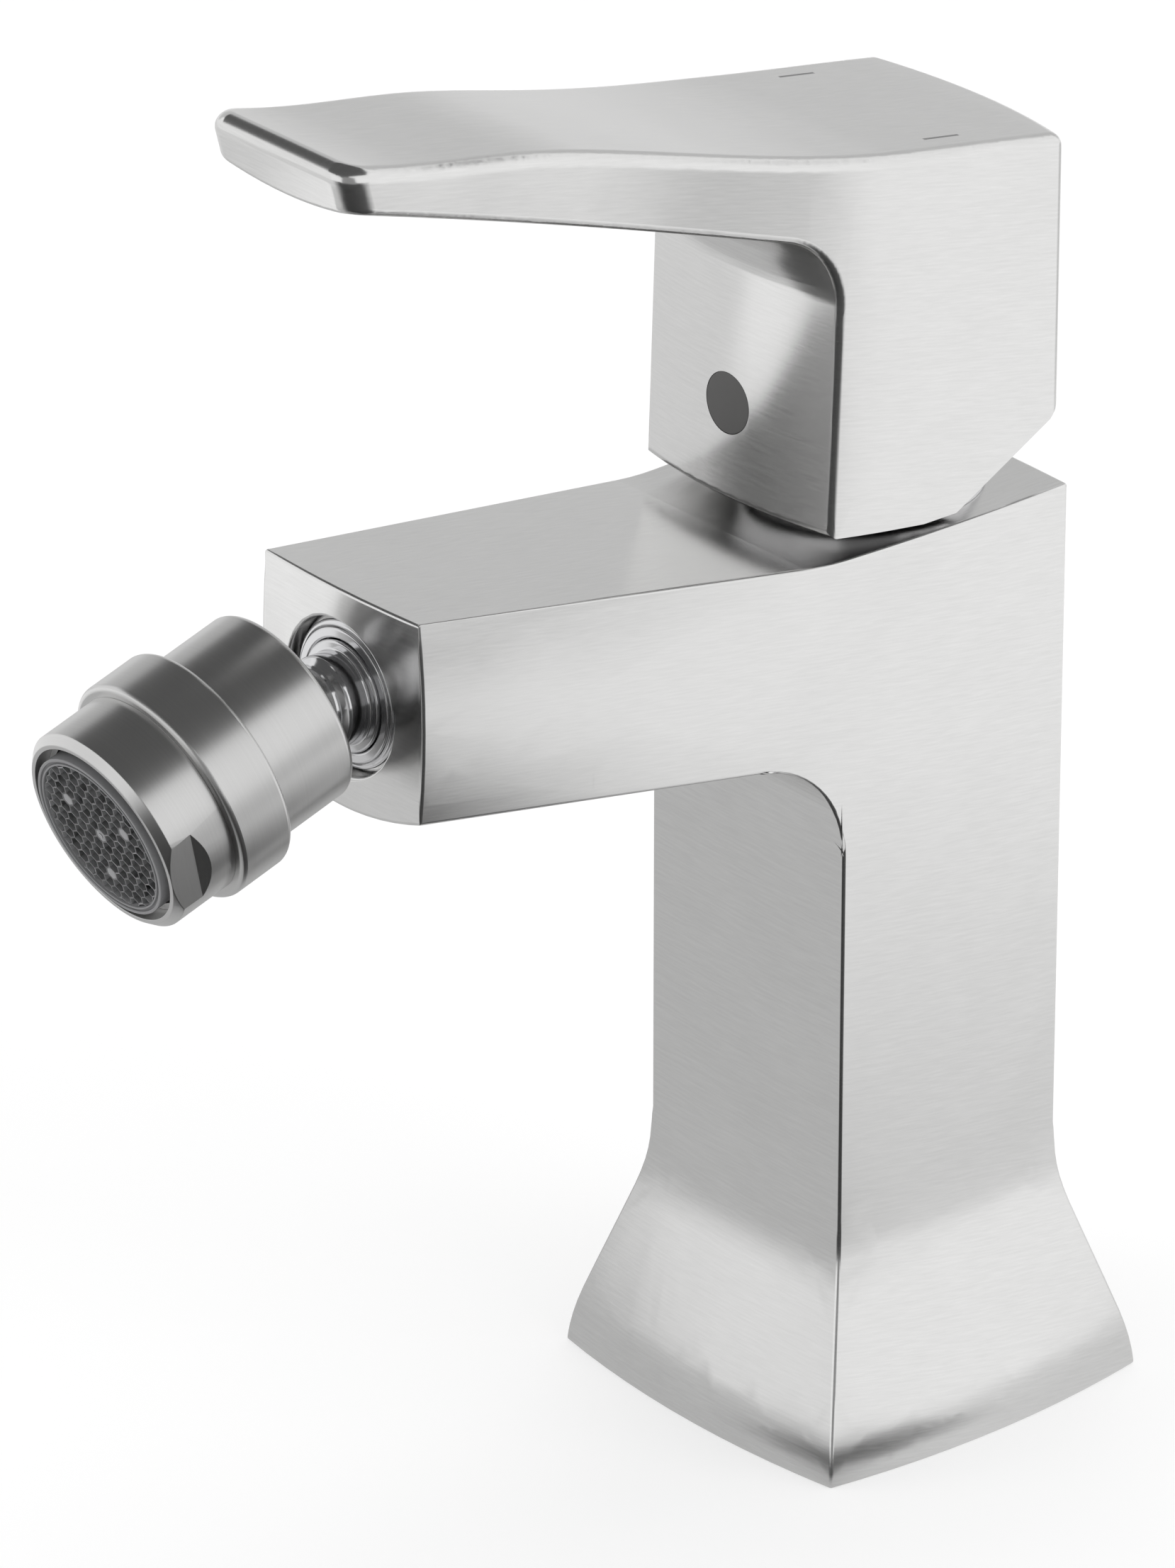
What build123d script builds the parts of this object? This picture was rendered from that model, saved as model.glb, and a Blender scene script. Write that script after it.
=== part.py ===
from build123d import *
import os
from math import asin, cos, radians, sin, sqrt, tan

# A single-lever bidet mixer. Millimetres, +Z up, spout towards -Y, origin on the
# column's axis in the plane of the deck.

# One overrun for every cut, and the clearances
overrun = 1.0
fit_gap = 0.05           # turned piece in its bore, radially
film_gap = 0.05          # between the two ceramic discs
running_gap = 0.1        # piece that turns or slides in another
ball_gap = 0.15          # ball to its seats
swing_gap = 0.3          # round a piece that swings

# The cartridge's bore, from which the column is built outwards
bore_radius = 12.5
nut_seat = 1.4           # bore to the nut's thread
cover_lip = 1.6          # thread to the foot of the dome
column_margin = 2.5      # dome to the column's side

# Casting: square column that flares into the foot
top_height = 122.0       # flat top of the column
column_crown = 0.5       # how far each side bulges in plan
foot_crown = 2.25
flare_height = 34.0
flare_radius = 40.0      # concave start of the flare
flare_angle = 17.2       # degrees from the vertical, middle of the flare
foot_height = 8.0
foot_radius = 38.0       # convex end of the flare

# Casting: spout
spout_reach = 81.6       # column axis to the corners of the spout's front
front_crown = 0.7        # bulge of the front in plan
top_angle = 8.2          # slope of the top in degrees
bend_start = 3.2         # column's front to the start of that slope
spout_depth = 26.0       # top to lower corners of the front
under_angle = 8.65       # slope of the lower edge in degrees
inner_radius = 15.0      # inside corner of spout and column
spout_front = 28.8       # width of the front's top and lower edges
side_bulge = 0.85        # bulge of the sides at the front
belly = 2.4              # bulge of the underside at the front
belly_root = 0.4         # and at the column

# Casting: hollow foot, threaded holes and waterways
column_wall = 2.5
pocket_depth = 60.0
groove_margin = 2.5      # pocket to the gasket's groove
groove_width = 3.0
groove_depth = 2.0
inlet_radius = 4.5       # M10x1, at its minor diameter
inlet_length = 12.0
inlet_x = 6.5
stud_radius = 3.4        # M8, at its minor diameter
stud_length = 14.0
stud_y = -8.0
channel_radius = 2.0
waterway_radius = 4.0
waterway_rise = 12.0     # chamber floor to where the waterway leaves it

# Casting: cartridge chamber
chamber_widening = 1.1
chamber_height = 15.5
chamber_depth = 34.0     # column's top to the chamber's floor
nut_depth = 14.4         # column's top to the nut's seat

# Ceramic cartridge
port_x = 4.4
port_y = 5.0
seal_inner = 2.4
seal_outer = 3.5
seal_height = 1.6
housing_wall = 1.6
shoulder_wall = 1.2
neck_step = 1.3          # inner shoulder that keeps the rotor in
step_rise = 5.5          # nut's seat to that shoulder
neck_length = 12.0
window_width = 5.0
window_rise = 11.2
window_height = 3.6
base_height = 6.6
base_flange = 3.6
fixed_disc_height = 4.0
moving_disc_radius = 8.0
moving_disc_height = 3.35
carrier_flange = 2.0
carrier_lip = 1.1        # driving ball's centre to the carrier's top
carrier_half = 3.7
o_ring_section = 0.85
o_ring_drop = 2.3        # nut's seat to the ring
o_ring_play = 0.25
rotor_rise = 0.4         # nut's seat to the rotor
lug_height = 3.4
lug_width = 2.0
lug_length = 9.0
nut_wall = 3.5
nut_length = 6.0
nut_slot = 3.0
nut_slot_depth = 1.5

# Stem and its pivot
pivot_depth = 4.5        # column's top to the pivot
swing = 24.0             # degrees of lift
stem_arm = 11.0          # pivot to the driving ball
stem_ball = 2.0
stem_neck = 1.5
stem_neck_length = 3.0
stem_blade_x = 5.0
stem_blade_y = 3.4
stem_eye = 2.9
blade_rise = 4.3         # pivot to where the square starts
stem_side = 7.0
stem_rise = 26.5         # pivot to the stem's top
pin_radius = 1.2
pin_length = 15.0

# Domed cover on the casting
cover_wall = 1.4
cover_opening = 10.6
collar_length = 7.4
collar_wall = 1.35

# Handle: the block over the column
handle_inset = 0.3       # column's side to the block's
front_overhang = 1.8     # lower front corner, past the column's front
back_inset = 1.3
back_crown = 2.6
handle_gap = 1.0         # column's top to the block's lower edge
chin_rise = 1.9          # lower edge to the lower front corner
chin_run = 14.5
heel_rise = 8.2          # lower edge to the top of the sloping heel
heel_inset = 1.6
back_rise = 44.4         # lower edge to the top's rear edge
dome_gap = 0.7
hollow_wall = 4.7        # block's side to the hollow
hollow_depth = 27.0
boss_radius = 6.5

# Handle: front, throat and lever
handle_lean = 1.1        # how far the front leans back up to the throat
throat_drop = 12.6       # rear edge of the top to where the front ends
throat_radius = 11.0
throat_turn = 69.0       # degrees
handle_crown = 2.4       # bulge of front and underside
handle_depth = 9.0       # thickness of the swept front and underside
lever_reach = 91.6
lever_climb = 23.0       # rear edge of the top to the tip
tip_slant = 1.7          # how far the tip's lower end stands back
tip_thickness = 4.2
lever_half = 13.2
tip_round = 3.5          # upright edges of the tip
back_round = 2.0         # upright edges of the back
roof_round = 1.8         # all round the top
rim_round = 1.2          # front and underside to the sides
sharp_angle = 30.0       # degrees, what counts as an edge

# Strokes let into the lever's top
mark_length = 5.6
mark_width = 0.5
mark_depth = 0.35
mark_inset = 4.5
mark_y = 0.5

# Grub screw and indicator plug
screw_rise = 14.7        # lower edge of the block to the screw
screw_radius = 2.5
screw_length = 6.0
key_size = 2.5
key_depth = 2.5
plug_radius = 3.9
plug_depth = 1.6
plug_tail = 2.2

# Ball nipple on the spout's front, places measured back from the ball's centre
ball_radius = 8.0
nipple_length = 13.3     # spout's front to the ball's centre
ball_drop = 1.2          # middle of the front to the ball's centre
recess_depth = 3.0
nipple_bore = 3.0
nipple_neck = 4.8
nipple_shank = 5.8
shank_start = 9.8        # from the ball's centre, clear of the tilted socket
nipple_thread = 6.0      # M12
flange_lip = 1.0
flange_height = 1.8
thread_length = 9.0
thread_runout = 2.0
gasket_height = 0.8
rosette_width = 3.0
rosette_step = 0.6
rosette_wall = 1.4
rosette_gap = 0.7
rosette_sink = 1.4

# Swivelling outlet, places measured forward from the ball's centre
outlet_tilt = 18.0       # degrees below level at rest
socket_back = 5.5
socket_wrap = 3.4        # how far the seat goes round the ball
mouth_flare = 1.0
seat_wall = 1.9          # ball to the seat's outer side
barrel_wall = 2.8
barrel_end = 6.3
barrel_round = 1.0
sleeve_step = 2.1
sleeve_length = 7.9
sleeve_round = 0.8
seat_start = 2.0
seat_height = 3.0
retainer_height = 3.3
retainer_wall = 3.2
washer_height = 1.4
washer_width = 3.95
sleeve_wall = 2.85
housing_step = 1.4
housing_length = 8.9
face_chamfer = 1.0
housing_wall_out = 0.85
face_wall = 1.55
face_bore_depth = 2.4
flat_cut = 0.95          # how deep the two spanner flats are cut
flat_turn = -10.0        # degrees about the outlet
flat_height = 4.0
flat_runout = 1.3
insert_gap = 0.3
insert_wall = 0.95
insert_flange_gap = 0.25
insert_flange_height = 1.0
insert_stand = 0.5       # how far the insert stands out of the housing
rim_lip = 0.4
rim_groove_width = 0.3
rim_groove_depth = 0.35
plate_height = 1.6
plate_sink = 0.3
cell_pitch = 1.72
cell_size = 1.42         # across the flats of a cell
cell_turn = -5.0         # degrees about the outlet
screen_height = 0.6
screen_hole = 0.7
screen_pitch = 2.2
screen_back = 1.6

# Outlines of the handle, chosen by hand. Shares of the reach from the column's axis,
# of the way from the tip's half-width to the block's, and of the climb to the tip
side_place_shares = [0.11, 0.25, 0.38, 0.51, 0.64, 0.78]
side_width_shares = [0.99, 0.81, 0.48, 0.21, 0.09, 0.02]
top_place_shares = [0.174, 0.279, 0.43, 0.582, 0.728, 0.864]
top_climb_shares = [0.157, 0.239, 0.391, 0.578, 0.748, 0.852]

# Worked-out places: column, foot and chamber
nut_radius = bore_radius + nut_seat
cover_radius = nut_radius + cover_lip
half = cover_radius + column_margin
chamber_radius = bore_radius + chamber_widening
pocket_radius = half - column_wall
groove_inner = pocket_radius + groove_margin
groove_outer = groove_inner + groove_width
foot_lean = radians(flare_angle)
arc_foot = flare_height - flare_radius * sin(foot_lean)
arc_out = half + flare_radius * (1 - cos(foot_lean))
line_out = arc_out + (arc_foot - foot_height) * tan(foot_lean)
foot_centre_x = line_out - foot_radius * cos(foot_lean)
foot_centre_z = foot_height - foot_radius * sin(foot_lean)
foot_half = foot_centre_x + sqrt(foot_radius**2 - foot_centre_z**2)
floor_height = top_height - chamber_depth
waterway_height = floor_height + waterway_rise
nut_height = top_height - nut_depth

# Worked-out places: spout
top_slope = tan(radians(top_angle))
under_slope = tan(radians(under_angle))
flat_reach = half + bend_start
spout_top = top_height + (spout_reach - flat_reach) * top_slope
spout_low = spout_top - spout_depth
face_reach = spout_reach + front_crown

# Worked-out places: cartridge and cover
housing_radius = bore_radius - running_gap
housing_inner = housing_radius - housing_wall
neck_radius = nut_radius - nut_wall - running_gap * 2
neck_inner = neck_radius - shoulder_wall
neck_top = nut_height + neck_length
step_height = nut_height + step_rise
window_low = floor_height + window_rise
o_ring_height = nut_height - o_ring_drop
disc_low = floor_height + base_height
disc_top = disc_low + fixed_disc_height
moving_low = disc_top + film_gap
moving_top = moving_low + moving_disc_height
rotor_low = nut_height + rotor_rise
lug_low = rotor_low - lug_height
pivot_height = top_height - pivot_depth
driven_height = pivot_height - stem_arm
carrier_top = driven_height + carrier_lip
carriage_travel = stem_arm * sin(radians(swing))
stem_neck_top = driven_height + stem_neck_length
stem_shoulder = pivot_height + blade_rise
stem_top = pivot_height + stem_rise
dome_sphere = sqrt(cover_radius**2 + pivot_depth**2)
cavity_sphere = dome_sphere + dome_gap
collar_low = top_height - collar_length
collar_inner = nut_radius - collar_wall

# Worked-out places: handle
handle_half = half - handle_inset
handle_front = half + front_overhang
handle_back = half - back_inset
heel_y = handle_back - heel_inset
roof_back = handle_back + back_crown + overrun
handle_low = top_height + handle_gap
handle_front_height = handle_low + chin_rise
chin_y = handle_front - chin_run
heel_height = handle_low + heel_rise
handle_top_back = handle_low + back_rise
handle_throat = handle_top_back - throat_drop
hollow_radius = handle_half - hollow_wall
hollow_top = handle_low + hollow_depth
lever_top = handle_top_back + lever_climb
lever_under = lever_top - tip_thickness
lever_end = lever_reach - tip_slant
mark_x = handle_half - mark_inset
screw_height = handle_low + screw_rise

# Worked-out places: nipple and outlet
ball_reach = face_reach + nipple_length
ball_height = spout_top - spout_depth / 2 - ball_drop
nipple_flange = nipple_thread + flange_lip
recess_radius = nipple_flange + rosette_width
recess_floor = nipple_length + recess_depth
flange_back = recess_floor - gasket_height
thread_depth = thread_length + thread_runout
ball_mouth = ball_radius + ball_gap
lip_radius = sqrt(ball_mouth**2 - socket_wrap**2)
socket_mouth = ball_radius + mouth_flare
cage_radius = ball_radius + seat_wall
barrel_radius = cage_radius + barrel_wall
sleeve_radius = barrel_radius + sleeve_step
sleeve_end = barrel_end + sleeve_length
retainer_bore = cage_radius - retainer_wall
thread_radius = sleeve_radius - sleeve_wall
washer_bore = thread_radius - washer_width
housing_outer = sleeve_radius - housing_step
housing_bore = thread_radius - housing_wall_out
face_bore = housing_outer - face_wall
flat_depth = housing_outer - flat_cut
outlet_face = sleeve_end + housing_length
flat_end = outlet_face - flat_height
insert_radius = housing_bore - insert_gap
insert_flange = thread_radius - insert_flange_gap
cage_end = seat_start + seat_height + retainer_height
washer_end = cage_end + washer_height
housing_rear = washer_end + insert_flange_height
insert_front = outlet_face + insert_stand
plate_front = insert_front - plate_sink
plate_radius = insert_radius - insert_wall
groove_out = insert_radius - rim_lip
groove_in = groove_out - rim_groove_width
lean_radians = radians(outlet_tilt)

ball_centre = (0, -ball_reach, ball_height)
outlet_dir = (0, -cos(lean_radians), -sin(lean_radians))
outlet_side = (0, sin(lean_radians), -cos(lean_radians))
outlet_axis = Axis(ball_centre, outlet_dir)
outlet_half = Plane(origin=ball_centre, x_dir=(1, 0, 0), z_dir=outlet_side)
outlet_plane = Plane(origin=ball_centre, x_dir=(1, 0, 0), z_dir=outlet_dir)
nipple_axis = Axis(ball_centre, (0, 1, 0))
nipple_half = Plane(origin=ball_centre, x_dir=(1, 0, 0), z_dir=(0, 0, 1))
nipple_plane = Plane(origin=ball_centre, x_dir=(1, 0, 0), z_dir=(0, 1, 0))


def turned(points, plane, axis):
    """A solid turned from a closed outline of (radius, place along the axis)."""
    with BuildPart() as piece:
        with BuildSketch(plane):
            with BuildLine():
                Polyline(*points, close=True)
            make_face()
        revolve(axis=axis)
    return piece.part


def tube(inner, outer, low, high):
    """The outline of a plain ring."""
    return [(inner, low), (outer, low), (outer, high), (inner, high)]


def keep(piece, name):
    """Names a finished piece and writes its file."""
    piece.part.label = name
    export_step(piece.part, "parts/" + name + ".step")


def ends_of(face):
    """The edges at the left and right ends of a face."""
    across = face.edges().sort_by(Axis.X)
    return [across[0], across[-1]]


def sharp_edges(solid):
    """The edges where two faces meet at an angle."""
    found = []
    faces = solid.faces()
    for edge in solid.edges():
        beside = [face for face in faces if any(edge.is_same(other) for other in face.edges())]
        normals = [face.normal_at(edge @ 0.5) for face in beside]
        if len(normals) == 2 and normals[0].dot(normals[1]) < cos(radians(sharp_angle)):
            found.append(edge)
    return found


def flare_half(height):
    """Half the side of the flare at a height above the deck."""
    if height >= arc_foot:
        return half + flare_radius - sqrt(flare_radius**2 - (flare_height - height)**2)
    if height >= foot_height:
        return arc_out + (arc_foot - height) * tan(foot_lean)
    return foot_centre_x + sqrt(foot_radius**2 - (height - foot_centre_z)**2)


def spout_half(reach):
    """Half the spout's width at its edges, at a distance from the column's axis."""
    return half - (half - spout_front / 2) * (reach - half) / (spout_reach - half)


os.makedirs("parts", exist_ok=True)
column_half = Plane.XZ
up_axis = Axis.Z

# Casting: flare and column
flare_shares = [0, 0.12, 0.25, 0.4, 0.54, 0.7, 0.85, 1]
with BuildPart() as body:
    for share in flare_shares:
        height = flare_height * share
        side = flare_half(height)
        grown = (side - half) / (foot_half - half)
        out = side + column_crown + (foot_crown - column_crown) * grown
        with BuildSketch(Plane.XY.offset(height)):
            with BuildLine():
                ThreePointArc((side, -side), (out, 0), (side, side))
                ThreePointArc((side, side), (0, out), (-side, side))
                ThreePointArc((-side, side), (-out, 0), (-side, -side))
                ThreePointArc((-side, -side), (0, -out), (side, -side))
            make_face()
    loft()
    out = half + column_crown
    with BuildSketch(Plane.XY.offset(flare_height)):
        with BuildLine():
            ThreePointArc((half, -half), (out, 0), (half, half))
            ThreePointArc((half, half), (0, out), (-half, half))
            ThreePointArc((-half, half), (-out, 0), (-half, -half))
            ThreePointArc((-half, -half), (0, -out), (half, -half))
        make_face()
    extrude(amount=top_height - flare_height)

# Casting: sides of the spout, ruled from its front to the column
with BuildPart() as flanks:
    for reach in (face_reach, half):
        grown = (reach - half) / (spout_reach - half)
        edge = spout_half(reach)
        control = edge + 2 * side_bulge * grown
        low = spout_low - (spout_reach - reach) * under_slope
        high = spout_top - (spout_reach - reach) * top_slope
        middle = (low + high) / 2
        peak = high + spout_depth
        foot = low - spout_depth
        with BuildSketch(Plane.XZ.offset(reach)):
            with BuildLine():
                Bezier((edge, low), (control, middle), (edge, high))
                Line((edge, high), (edge, peak))
                Line((edge, peak), (-edge, peak))
                Line((-edge, peak), (-edge, high))
                Bezier((-edge, high), (-control, middle), (-edge, low))
                Line((-edge, low), (-edge, foot))
                Line((-edge, foot), (edge, foot))
                Line((edge, foot), (edge, low))
            make_face()
    loft(ruled=True)

# Casting: side outline of the spout
turn = radians(90 - under_angle)
tangent = inner_radius * tan(turn / 2)
corner_height = spout_low - (spout_reach - half) * under_slope
bend_reach = half + tangent * cos(radians(under_angle))
bend_height = spout_low - (spout_reach - bend_reach) * under_slope
front_low = spout_low + front_crown * under_slope
soft_reach = flat_reach + bend_start * cos(radians(top_angle))
soft_height = spout_top - (spout_reach - soft_reach) * top_slope
front_high = spout_top + front_crown * top_slope
with BuildPart() as spout:
    with BuildSketch(Plane.YZ):
        with BuildLine():
            lower = Line((-face_reach, front_low), (-bend_reach, bend_height))
            throat = TangentArc(lower @ 1, (-half, corner_height - tangent), tangent=lower % 1)
            root = Line(throat @ 1, (-half, top_height))
            soft = TangentArc(root @ 1, (-soft_reach, soft_height), tangent=(-1, 0))
            slope = Line(soft @ 1, (-face_reach, front_high))
            Line(slope @ 1, lower @ 0)
        make_face()
    extrude(amount=half * 2, both=True)
    add(flanks.part, mode=Mode.INTERSECT)


# Casting: rounded underside, front in a gentle arc
with BuildPart() as keel:
    for reach, sag in ((face_reach, belly), (half, belly_root)):
        edge = spout_half(reach)
        low = spout_low - (spout_reach - reach) * under_slope
        with BuildSketch(Plane.XZ.offset(reach)):
            with BuildLine():
                ThreePointArc((-edge, low), (0, low - sag), (edge, low))
                Polyline((edge, low), (edge, low + overrun), (-edge, low + overrun), (-edge, low))
            make_face()
    loft(ruled=True)
with BuildPart() as front_trim:
    with BuildSketch(Plane.XY):
        with BuildLine():
            edge = spout_half(spout_reach)
            ThreePointArc((-edge, -spout_reach), (0, -face_reach), (edge, -spout_reach))
            Polyline((edge, -spout_reach), (half, -spout_reach), (half, 0), (-half, 0),
                     (-half, -spout_reach), (-edge, -spout_reach))
        make_face()
    extrude(amount=spout_top + overrun)
with BuildPart() as shaft:
    add(spout.part)
    add(keel.part)
    add(front_trim.part, mode=Mode.INTERSECT)

drill_run = face_reach - chamber_radius / 2
drill_rise = ball_height - waterway_height
drill = Plane(origin=(0, -face_reach, ball_height), x_dir=(1, 0, 0),
              z_dir=(0, drill_run, -drill_rise))
with body:
    add(shaft.part)
    # hollow foot, gasket groove and threaded holes
    with BuildSketch(Plane.XY):
        Circle(pocket_radius)
    extrude(amount=pocket_depth, mode=Mode.SUBTRACT)
    with BuildSketch(Plane.XY):
        Circle(groove_outer)
        Circle(groove_inner, mode=Mode.SUBTRACT)
    extrude(amount=groove_depth, mode=Mode.SUBTRACT)
    with BuildSketch(Plane.XY.offset(pocket_depth)):
        with Locations((inlet_x, port_y), (-inlet_x, port_y)):
            Circle(inlet_radius)
    extrude(amount=inlet_length, mode=Mode.SUBTRACT)
    with BuildSketch(Plane.XY.offset(pocket_depth)):
        with Locations((0, stud_y)):
            Circle(stud_radius)
    extrude(amount=stud_length, mode=Mode.SUBTRACT)
    with BuildSketch(Plane.XY.offset(pocket_depth)):
        with Locations((port_x, port_y), (-port_x, port_y)):
            Circle(channel_radius)
    extrude(amount=floor_height - pocket_depth, mode=Mode.SUBTRACT)
    # chamber, bore and thread for the nut
    with BuildSketch(Plane.XY.offset(floor_height)):
        Circle(bore_radius)
    extrude(amount=top_height - floor_height + overrun, mode=Mode.SUBTRACT)
    with BuildSketch(Plane.XY.offset(floor_height)):
        Circle(chamber_radius)
    extrude(amount=chamber_height, mode=Mode.SUBTRACT)
    with BuildSketch(Plane.XY.offset(nut_height)):
        Circle(nut_radius + fit_gap)
    extrude(amount=top_height - nut_height + overrun, mode=Mode.SUBTRACT)
    # recess, threaded hole and waterway of the spout
    with BuildSketch(Plane.XZ.offset(face_reach - recess_depth)):
        with Locations((0, ball_height)):
            Circle(recess_radius)
    extrude(amount=recess_depth + overrun, mode=Mode.SUBTRACT)
    with BuildSketch(Plane.XZ.offset(face_reach - recess_depth - thread_depth)):
        with Locations((0, ball_height)):
            Circle(nipple_thread + fit_gap)
    extrude(amount=thread_depth + overrun, mode=Mode.SUBTRACT)
    with BuildSketch(drill):
        Circle(waterway_radius)
    extrude(amount=sqrt(drill_run**2 + drill_rise**2), mode=Mode.SUBTRACT)
keep(body, "body")

base_gasket_blank = turned(tube(groove_inner + running_gap, groove_outer - running_gap, 0, groove_depth),
                     column_half, up_axis)
with BuildPart() as base_gasket:
    add(base_gasket_blank)
keep(base_gasket, "base_gasket")

# Cartridge: fixed pieces
cartridge_base_blank = turned([(0, floor_height), (housing_radius, floor_height),
                         (housing_radius, floor_height + base_flange),
                         (housing_inner, floor_height + base_flange),
                         (housing_inner, disc_low), (0, disc_low)], column_half, up_axis)
with BuildPart() as cartridge_base:
    add(cartridge_base_blank)
    with BuildSketch(Plane.XY.offset(floor_height)):
        with Locations((port_x, port_y), (-port_x, port_y)):
            Circle(channel_radius)
    extrude(amount=base_height, mode=Mode.SUBTRACT)
    with BuildSketch(Plane.XY.offset(floor_height)):
        with Locations((port_x, port_y), (-port_x, port_y)):
            Circle(seal_outer + fit_gap)
    extrude(amount=seal_height, mode=Mode.SUBTRACT)
keep(cartridge_base, "cartridge_base")

with BuildPart() as base_seals:
    with BuildSketch(Plane.XY.offset(floor_height)):
        with Locations((port_x, port_y), (-port_x, port_y)):
            Circle(seal_outer)
            Circle(seal_inner, mode=Mode.SUBTRACT)
    extrude(amount=seal_height)
keep(base_seals, "base_seals")

groove_floor = housing_radius - o_ring_section
cartridge_housing_blank = turned([
    (housing_inner, floor_height + base_flange), (housing_radius, floor_height + base_flange),
    (housing_radius, o_ring_height - o_ring_section / 2 - o_ring_play),
    (groove_floor, o_ring_height - o_ring_section / 2 - o_ring_play),
    (groove_floor, o_ring_height + o_ring_section / 2 + o_ring_play),
    (housing_radius, o_ring_height + o_ring_section / 2 + o_ring_play),
    (housing_radius, nut_height), (neck_radius, nut_height), (neck_radius, neck_top),
    (neck_inner - neck_step, neck_top), (neck_inner - neck_step, step_height),
    (neck_inner, step_height), (neck_inner, nut_height - shoulder_wall),
    (housing_inner, nut_height - shoulder_wall)], column_half, up_axis)
with BuildPart() as cartridge_housing:
    add(cartridge_housing_blank)
    with BuildSketch(Plane.XY.offset(window_low)):
        Rectangle(2 * bore_radius, window_width)
        Rectangle(window_width, 2 * bore_radius)
    extrude(amount=window_height, mode=Mode.SUBTRACT)
keep(cartridge_housing, "cartridge_housing")

with BuildPart() as cartridge_o_ring:
    with BuildSketch(column_half):
        with Locations((groove_floor + o_ring_section / 2, o_ring_height)):
            Circle(o_ring_section / 2)
    revolve(axis=up_axis)
keep(cartridge_o_ring, "cartridge_o_ring")

with BuildPart() as fixed_disc:
    with BuildSketch(Plane.XY.offset(disc_low)):
        Circle(housing_inner - running_gap)
        with Locations((port_x, port_y), (-port_x, port_y)):
            Circle(channel_radius, mode=Mode.SUBTRACT)
    extrude(amount=fixed_disc_height)
keep(fixed_disc, "fixed_disc")

cartridge_nut_blank = turned(tube(nut_radius - nut_wall, nut_radius, nut_height, nut_height + nut_length),
                       column_half, up_axis)
with BuildPart() as cartridge_nut:
    add(cartridge_nut_blank)
    with BuildSketch(Plane.XY.offset(nut_height + nut_length)):
        Rectangle(2 * nut_radius + overrun, nut_slot)
        Rectangle(nut_slot, 2 * nut_radius + overrun)
    extrude(amount=-nut_slot_depth, mode=Mode.SUBTRACT)
keep(cartridge_nut, "cartridge_nut")

# Cartridge: sliding disc and its carrier, drawn back by half the travel at rest
carriage_y = carriage_travel / 2
with BuildPart() as moving_disc:
    with BuildSketch(Plane.XY.offset(moving_low)):
        with Locations((0, carriage_y)):
            Circle(moving_disc_radius)
    extrude(amount=moving_disc_height)
keep(moving_disc, "moving_disc")

flange_top = moving_top + carrier_flange
socket_radius = stem_ball + running_gap
with BuildPart() as disc_carrier:
    with BuildSketch(Plane.XY.offset(moving_top)):
        with Locations((0, carriage_y)):
            Circle(moving_disc_radius)
    extrude(amount=carrier_flange)
    with BuildSketch(Plane.XY.offset(flange_top)):
        Rectangle(2 * carrier_half, 2 * carrier_half)
    extrude(amount=carrier_top - flange_top)
    with BuildSketch(Plane.XY.offset(carrier_top)):
        Circle(socket_radius)
    extrude(amount=driven_height - socket_radius - carrier_top, mode=Mode.SUBTRACT)
keep(disc_carrier, "disc_carrier")

# Cartridge: rotor with two guides for the carrier and a slot for the stem
slot_half = stem_eye + running_gap * 2
slot_low_y = carriage_travel + stem_ball + swing_gap * 2
slot_bend = pivot_height - (slot_half - stem_blade_y / 2) / tan(radians(swing)) + swing_gap * 2
rotor_blank = turned([(0, rotor_low), (neck_inner - running_gap, rotor_low),
                (neck_inner - running_gap, step_height - running_gap),
                (neck_inner - neck_step - running_gap, step_height - running_gap),
                (neck_inner - neck_step - running_gap, neck_top), (0, neck_top)],
               column_half, up_axis)
with BuildPart() as rotor:
    add(rotor_blank)
    with BuildSketch(Plane.XY.offset(lug_low)):
        with Locations((carrier_half + running_gap + lug_width / 2, 0),
                       (-carrier_half - running_gap - lug_width / 2, 0)):
            Rectangle(lug_width, lug_length)
    extrude(amount=rotor_low - lug_low)
    with BuildSketch(Plane.YZ):
        with BuildLine():
            Polyline((-slot_low_y, rotor_low - overrun), (slot_half, rotor_low - overrun),
                     (slot_half, neck_top + overrun), (-slot_half, neck_top + overrun),
                     (-slot_half, slot_bend), (-slot_low_y, rotor_low), close=True)
        make_face()
    extrude(amount=stem_blade_x / 2 + running_gap, both=True, mode=Mode.SUBTRACT)
    with BuildSketch(Plane.YZ):
        with Locations((0, pivot_height)):
            Circle(pin_radius)
    extrude(amount=pin_length / 2, both=True, mode=Mode.SUBTRACT)
keep(rotor, "rotor")

with BuildPart() as pivot_pin:
    with BuildSketch(Plane.YZ):
        with Locations((0, pivot_height)):
            Circle(pin_radius)
    extrude(amount=pin_length / 2, both=True)
keep(pivot_pin, "pivot_pin")

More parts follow.
